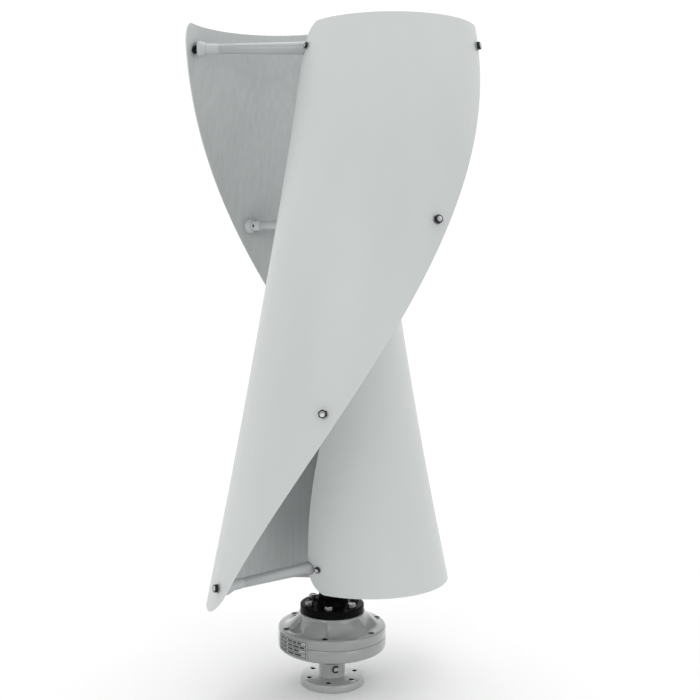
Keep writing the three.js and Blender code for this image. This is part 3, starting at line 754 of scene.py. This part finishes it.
def make_cap(level, letter, turn):
    """The flared boot on an arm's end, with a grub screw sunk in the side of its sleeve."""
    bore, start, collar, end, screw_at = 0.0085, 0.2015, 0.2248, 0.2395, 0.2172
    profile = [(0.0087, start), (0.0088, start), (0.0093, start + 0.004),
               (0.0097, collar - 0.0004), (0.0112, collar), (0.0116, collar + 0.0006)]
    for k in range(1, 9):
        share = k / 8
        profile.append((0.0116 + 0.0025 * eased(share), collar + 0.0006 + 0.0095 * share))
    profile += [(0.0141, end - 0.0022), (0.0140, end - 0.0012), (0.0136, end - 0.0004),
                (0.0128, end), (0.0108, end), (0.0105, end - 0.0006),
                (bore, 0.2304), (bore, start + 0.013)]
    cap = lathe("fine_cap", profile, 64, TO_X)
    side = 1 if level in (1, 2) else -1
    aside = Matrix.Translation((screw_at, 0, 0)) @ Matrix.Rotation(-side * math.pi / 2, 4, "X")
    pocket = [(0, 0.0088), (0.0029, 0.0088), (0.0029, 0.013), (0, 0.013)]
    boolean(cap, lathe("pocket", pocket, 28, aside))
    name = f"{letter}{level + 1}"
    cap.name = f"fine_arm_cap_{name}"
    cap.data.transform(arm_matrix(level, turn))
    finish(cap, "rotor", [f"arm_cap_{name}"], "cap", 0.0003, 40, 2)
    screw = [(0, 0.0084), (0.0027, 0.0084), (0.0027, 0.0094), (0.0024, 0.0097),
             (0.0013, 0.0097), (0.0011, 0.0089), (0, 0.0089)]
    grub = lathe("grub_screw_" + name, screw, 28, arm_matrix(level, turn) @ aside)
    finish(grub, "rotor", [], "screw")


for each_level in range(LEVELS):
    make_spider(each_level)
    make_cap(each_level, "a", 0.0)
    make_cap(each_level, "b", math.pi)


# ---------------------------------------------------------------- shaft and hub flange

def make_shaft():
    low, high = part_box("main_shaft")
    inner = TUBE_RADIUS - 0.003
    tube = [(inner, low.z), (TUBE_RADIUS, low.z), (TUBE_RADIUS, high.z), (inner, high.z)]
    finish(lathe("fine_main_shaft", tube, 128), "rotor", ["main_shaft"], "shaft", 0.0003)
    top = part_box("shaft_cap")[1].z
    plug, sunk, ledge = 0.0207, high.z - 0.015, high.z + 0.0003
    cap = [(0, sunk), (plug, sunk), (plug, ledge), (TUBE_RADIUS, ledge),
           (TUBE_RADIUS, top - 0.0012), (0.0232, top - 0.0003), (0.021, top), (0, top)]
    finish(lathe("fine_shaft_cap", cap, 96), "rotor", ["shaft_cap"], "rubber")


def make_hub_flange():
    """The hub flange with its filleted boss and blind socket, and its six bolts."""
    low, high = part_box("hub_flange")
    bottom, boss_top = low.z, high.z
    top = bottom + FLANGE_THICKNESS
    boss, socket, floor = 0.029, 0.0243, bottom + 0.006
    profile = [(0, bottom), (0.0572, bottom), (FLANGE_RADIUS, bottom + 0.0008),
               (FLANGE_RADIUS, top - 0.0012), (0.0568, top), (0.0315, top),
               (0.0299, top + 0.0005), (0.0291, top + 0.002), (boss, top + 0.004),
               (boss, boss_top - 0.0012), (0.0278, boss_top), (socket, boss_top),
               (socket, floor), (0, floor)]
    flange = lathe("fine_hub_flange", profile, 128)
    boolean(flange, hole_tools(BOLT_CIRCLE, BOLT_HOLE, bottom - 0.001, top + 0.001))
    finish(flange, "rotor", ["hub_flange"], "shaft", 0.0004, 50, 2)
    bolt = bolt_mesh(M8, top + 0.0003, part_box("hub_bolt_1")[0].z)
    for index in range(HOLES):
        at = Matrix.Translation((*polar(BOLT_CIRCLE, hole_azimuth(index)), 0))
        spin = Matrix.Rotation(random.uniform(0, math.pi / 3), 4, "Z")
        set_piece(bolt, f"hub_bolt_{index + 1}", at @ spin, "hub_steel")


make_shaft()
make_hub_flange()


# ---------------------------------------------------------------- generator casing

SHOULDER_IN = 0.0603
SHOULDER_OUT = 0.0862
SHOULDER_STEPS = 12
RAMP_OFFSET = 0.01


def shoulder_share(radius):
    return (radius - SHOULDER_IN) / (SHOULDER_OUT - SHOULDER_IN)


def shoulder_low(radius, seat, rim):
    """The pocket in a shoulder sector: steeply down from the seat, then out below the rim."""
    share = shoulder_share(radius)
    return rim - 0.0022 * math.sin(math.pi * share) + (seat - 0.005 - rim) * (1 - share) ** 4


def shoulder_high(radius, seat, rim):
    """The high side of a shoulder sector: a straight slope from the seat to the rim."""
    return seat - 0.003 + (rim + 0.0002 - seat + 0.003) * shoulder_share(radius)


def ramp_share(share):
    """How high a sector's ramp stands, from 0 after one rim screw to 1 at the next."""
    return eased(min(max((share - 0.08) / 0.8, 0), 1))


def rim_pad(azimuth, rim):
    """A raised pad with a round outer end, from the shoulder out round a rim screw."""
    half, inner, outer = 0.0068, 0.080, 0.0886
    outline = [(outer + half * math.sin(a), -half * math.cos(a)) for a in HALF_CIRCLE]
    mesh_data = bmesh.new()
    add_prism(mesh_data, [(inner, -half), *outline, (inner, half)], rim - 0.004, rim + 0.0007)
    return mesh_object("pad", mesh_data, Matrix.Rotation(azimuth, 4, "Z"))


def make_upper_cover():
    """The upper casing: six ramps round its shoulder, each ending in a step at a rim screw."""
    low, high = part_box("upper_cover")
    seam, seat = low.z, high.z
    rim = seat - SEAT_ABOVE_RIM
    shell = 0.082
    body = [(0, seat), (0.0592, seat), (0.060, seat - 0.0008)]
    for k in range(SHOULDER_STEPS + 1):
        radius = SHOULDER_IN + (SHOULDER_OUT - SHOULDER_IN) * k / SHOULDER_STEPS
        body.append((radius, shoulder_low(radius, seat, rim)))
    body += [(0.0866, rim), (0.0945, rim), (0.0966, rim - 0.0007), (0.0977, rim - 0.0020),
             (CASING_RADIUS, rim - 0.0040), (CASING_RADIUS, seam + 0.0006), (0.0976, seam),
             (shell, seam), (shell, rim - 0.0055), (0.066, rim - 0.0055),
             (0.0565, seat - 0.017), (0.0545, seat - 0.008), (0.033, seat - 0.008),
             (0.033, seat - 0.0295), (0.026, seat - 0.0295), (0.026, seat - 0.0142),
             (0.021, seat - 0.0142), (0.021, seat - 0.006), (0, seat - 0.006)]
    mesh_data = bmesh.new()
    add_lathe(mesh_data, body, 288)
    for vertex in mesh_data.verts:
        radius = vertex.co.xy.length
        on_shoulder = SHOULDER_IN - 1e-6 < radius < SHOULDER_OUT + 1e-6
        if on_shoulder and vertex.co.z > rim - 0.003:
            azimuth = math.atan2(vertex.co.y, vertex.co.x) + RAMP_OFFSET
            share = ramp_share((azimuth - FIRST_HOLE) / HOLE_STEP % 1.0)
            deep = shoulder_low(radius, seat, rim)
            vertex.co.z = deep + share * (shoulder_high(radius, seat, rim) - deep)
    cover = mesh_object("fine_upper_cover", mesh_data)
    for index in range(HOLES):
        boolean(cover, rim_pad(hole_azimuth(index), rim), "UNION")
    boolean(cover, hole_tools(RIM_CIRCLE, 0.0034, seam - 0.001, rim + 0.003))
    boolean(cover, hole_tools(RIM_CIRCLE, 0.0054, rim - 0.008, rim + 0.003))
    boolean(cover, hole_tools(BOLT_CIRCLE, 0.0044, seat - 0.010, seat + 0.001))
    mark_bores(cover, RIM_CIRCLE, 0.0055)
    finish(cover, "rotor", ["upper_cover"], "casing", 0.0004, 40, 2, more=("bore",))


def make_lower_cover():
    """The lower casing: a shallow bowl with a hollow for the lower bearing."""
    low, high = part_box("lower_cover")
    bottom, seam = low.z, high.z
    neck, shell = 0.0262, 0.082
    outside = [(neck, 0), (0.0274, 0), (0.028, 0.0006), (0.045, 0.0076), (0.065, 0.0149),
               (0.082, 0.0207), (0.090, 0.0239), (0.0945, 0.0262), (0.0968, 0.0284),
               (0.0978, 0.0310), (CASING_RADIUS, 0.0340)]
    inside = [(CASING_RADIUS, 0.0006), (0.0976, 0), (shell, 0), (shell, 0.0217),
              (0.072, 0.0217), (0.070, 0.0247), (0.0375, 0.0367), (0.0375, 0.0262),
              (0.031, 0.0262), (0.031, 0.0427), (neck, 0.0427)]
    profile = [(radius, bottom + rise) for radius, rise in outside]
    profile += [(radius, seam - drop) for radius, drop in inside]
    cover = lathe("fine_lower_cover", profile, 192)
    finish(cover, "rotor", ["lower_cover"], "casing")


def make_rim_screws():
    """Cap screws with round sockets, sunk in the pads."""
    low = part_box("rim_screw_1")[0].z
    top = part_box("upper_cover")[1].z - SEAT_ABOVE_RIM + 0.0004
    shank, head = 0.003, 0.0051
    profile = [(0, low), (shank, low), (shank, top - 0.0075), (head, top - 0.0075),
               (head, top - 0.0005), (0.0047, top), (0.0028, top), (0.0025, top - 0.0003),
               (0.0024, top - 0.0026), (0, top - 0.0026)]
    mesh_data = bmesh.new()
    add_lathe(mesh_data, profile, 36)
    mesh = as_mesh("screw", mesh_data)
    for index in range(HOLES):
        at = Matrix.Translation((*polar(RIM_CIRCLE, hole_azimuth(index)), 0))
        set_piece(mesh, f"rim_screw_{index + 1}", at, "screw")


make_upper_cover()
make_lower_cover()
make_rim_screws()


# ---------------------------------------------------------------- foot and cable outlet

CABLE = math.radians(-74)
# The black rubber ring round the bung runs only between these azimuths: a C that stands for the
# shadow in the gap round the bung.
SHADOW_RING_START, SHADOW_RING_END = math.radians(132), math.radians(408)


def make_foot():
    """The mounting flange and its neck, with a bunged cable outlet in a black rubber ring that is
    split open on one side, so that the ring also paints the shadow in the gap round the bung.
    """
    low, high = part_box("mount_flange")
    bottom, end = low.z, high.z
    top = bottom + FLANGE_THICKNESS
    bore, neck = 0.0173, TUBE_RADIUS
    profile = [(bore, bottom), (0.0568, bottom), (FLANGE_RADIUS, bottom + 0.0012),
               (FLANGE_RADIUS, top - 0.0018), (0.0572, top - 0.0006), (0.0560, top),
               (neck + 0.0042, top), (neck + 0.0020, top + 0.0005),
               (neck + 0.0006, top + 0.0020), (neck, top + 0.0042),
               (neck, end - 0.0012), (neck - 0.0012, end), (bore, end)]
    foot = lathe("fine_mount_flange", profile, 144)
    boolean(foot, hole_tools(BOLT_CIRCLE, BOLT_HOLE, bottom - 0.001, top + 0.001))
    height = box_centre("cable_grommet").z
    outwards = Matrix.Translation((0, 0, height)) @ Matrix.Rotation(CABLE, 4, "Z") @ TO_X
    outlet = [(0, 0.014), (0.0065, 0.014), (0.0065, 0.030), (0, 0.030)]
    boolean(foot, lathe("outlet", outlet, 40, outwards))
    mark_bores(foot, BOLT_CIRCLE, 0.0046)
    finish(foot, "base", ["mount_flange"], "foot", 0.0004, 50, 2, ("bore",))
    bung = [(0, 0.0178), (0.0061, 0.0178), (0.0061, 0.0238), (0.0050, 0.0243),
            (0.0040, 0.0243), (0.0036, 0.0249), (0.0024, 0.0254), (0, 0.0255)]
    finish(lathe("fine_cable_grommet", bung, 48, outwards), "base", ["cable_grommet"], "cap")
    # A black rubber ring, split to a C: partly the grommet, partly a painted shadow round the bung.
    ring = [(0.0054 + 0.0014 * math.cos(a), 0.0249 + 0.0015 * math.sin(a))
            for a in [math.tau * k / 14 for k in range(14)]]
    split = sector("grommet_shadow_ring", SHADOW_RING_START, SHADOW_RING_END, ring, 48)
    split.data.transform(outwards)
    finish(split, "base", ["cable_grommet"], "rubber", 0.0004, 60, 2)


make_foot()


# ---------------------------------------------------------------- rating plate

PLATE_START, PLATE_END = math.radians(-161), math.radians(-116)
PLATE_BACK, PLATE_FACE = 0.0983, 0.09885
INK_FROM, INK_DEPTH = 0.09884, 0.00012
PLATE_ROWS = 4
RULE = 0.00055
RULE_ANGLE = 0.0055
WORD_GAP = 0.018


def plate_strips(low, high, left, split, right):
    """The ruled lines and the bars between them, as (start, end, bottom, top)."""
    margin = 0.0015
    row_height = (high - low - 2 * margin) / PLATE_ROWS
    half = row_height * 0.25
    strips = []
    for row in range(PLATE_ROWS + 1):
        height = low + margin + row * row_height
        strips.append((left, right, height - RULE, height + RULE))
    for row in range(PLATE_ROWS):
        height = low + margin + (row + 0.5) * row_height
        for first, last in ((left + 0.03, split - 0.02), (split + 0.04, right - 0.03)):
            at = first
            while at < first + (last - first) * random.uniform(0.6, 0.9):
                word = random.uniform(0.08, 0.16)
                strips.append((at, min(at + word, last), height - half, height + half))
                at += word + WORD_GAP
    return strips


def ink(name, start, end, low, high, steps):
    face = INK_FROM + INK_DEPTH
    profile = [(INK_FROM, low), (face, low), (face, high), (INK_FROM, high)]
    return sector(name, start, end, profile, steps)


def make_rating_plate():
    """A bent foil plate with a printed table that has bars for its words."""
    low, high = (corner.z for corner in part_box("rating_plate"))
    foil = [(PLATE_BACK, low), (PLATE_FACE, low), (PLATE_FACE, high), (PLATE_BACK, high)]
    plate = sector("fine_rating_plate", PLATE_START, PLATE_END, foil, 40)
    finish(plate, "rotor", ["rating_plate"], "plate")
    left, right = PLATE_START + 0.03, PLATE_END - 0.03
    split = left + 0.36 * (right - left)
    parts = [ink(f"ink_{number}", start, end, bottom, top, 10)
             for number, (start, end, bottom, top)
             in enumerate(plate_strips(low, high, left, split, right))]
    for azimuth in (left, split, right):
        parts.append(ink("ink_line", azimuth - RULE_ANGLE, azimuth + RULE_ANGLE,
                         low + 0.0014, high - 0.0014, 1))
    joined = bmesh.new()
    for part in parts:
        joined.from_mesh(part.data)
        bpy.data.objects.remove(part)
    finish(mesh_object("plate_print", joined), "rotor", [], "print")


make_rating_plate()


# ---------------------------------------------------------------- studio

FLOOR_HALF = 2.0
FLOOR_GAP = 0.0002
AIM = (0, 0, 0.6)


def make_floor():
    mesh_data = bmesh.new()
    corners = [(-1, -1), (1, -1), (1, 1), (-1, 1)]
    mesh_data.faces.new([mesh_data.verts.new((x * FLOOR_HALF, y * FLOOR_HALF, 0))
                         for x, y in corners])
    floor = mesh_object("studio_floor", mesh_data)
    floor.location.z = bounds_at_load[0][2] - FLOOR_GAP
    floor.data.materials.append(backdrop_material())


def add_light(name, place, size, power):
    """A soft box that is aimed at the object's middle and isn't seen itself."""
    light = bpy.data.lights.new(name, "AREA")
    light.shape = "RECTANGLE"
    light.size, light.size_y = size
    light.energy = power
    lamp = linked(name, light)
    lamp.location = place
    lamp.rotation_euler = (Vector(AIM) - Vector(place)).to_track_quat("-Z", "Y").to_euler()
    lamp.visible_camera = False


def make_studio():
    """A white room, dimmer in front where it lights the object, with soft boxes."""
    make_floor()
    world = bpy.data.worlds.new("studio")
    world.use_nodes = True
    tree = world.node_tree
    background = tree.nodes["Background"]
    background.inputs["Color"].default_value = (1, 1, 1, 1)
    place = tree.nodes.new("ShaderNodeTexCoord")
    parts = node_of(tree, "ShaderNodeSeparateXYZ", Vector=place.outputs["Generated"])
    room = node_of(tree, "ShaderNodeMapRange", Value=parts.outputs["Y"],
                   From_Min=-1, From_Max=1, To_Min=0.62, To_Max=1.25)
    path = tree.nodes.new("ShaderNodeLightPath")
    strength = node_of(tree, "ShaderNodeMapRange", Value=path.outputs["Is Camera Ray"],
                       To_Min=room.outputs["Result"], To_Max=1.05)
    tree.links.new(strength.outputs["Result"], background.inputs["Strength"])
    bpy.context.scene.world = world
    bpy.context.scene.view_settings.view_transform = "Standard"
    add_light("key", (-1.3, -2.8, 1.4), (1.8, 1.8), 17)
    add_light("fill", (2.2, -2.4, 1.0), (1.8, 2.0), 12)
    add_light("overhead", (0, 0.4, 3.4), (2.6, 2.6), 26)


def make_camera():
    """Stands in front of the wheel, a little below the top arms, looking slightly down."""
    data = bpy.data.cameras.new("camera")
    data.lens = 56.0
    data.sensor_width = 36.0
    data.shift_x = 0.0247
    data.shift_y = -0.011
    camera = linked("camera", data)
    camera.location = (0, -1.946, bounds_at_load[1][2] - 0.4145)
    camera.rotation_euler = (math.radians(90 - 4.27), math.radians(-0.1), 0)
    bpy.context.scene.camera = camera


make_studio()
make_camera()
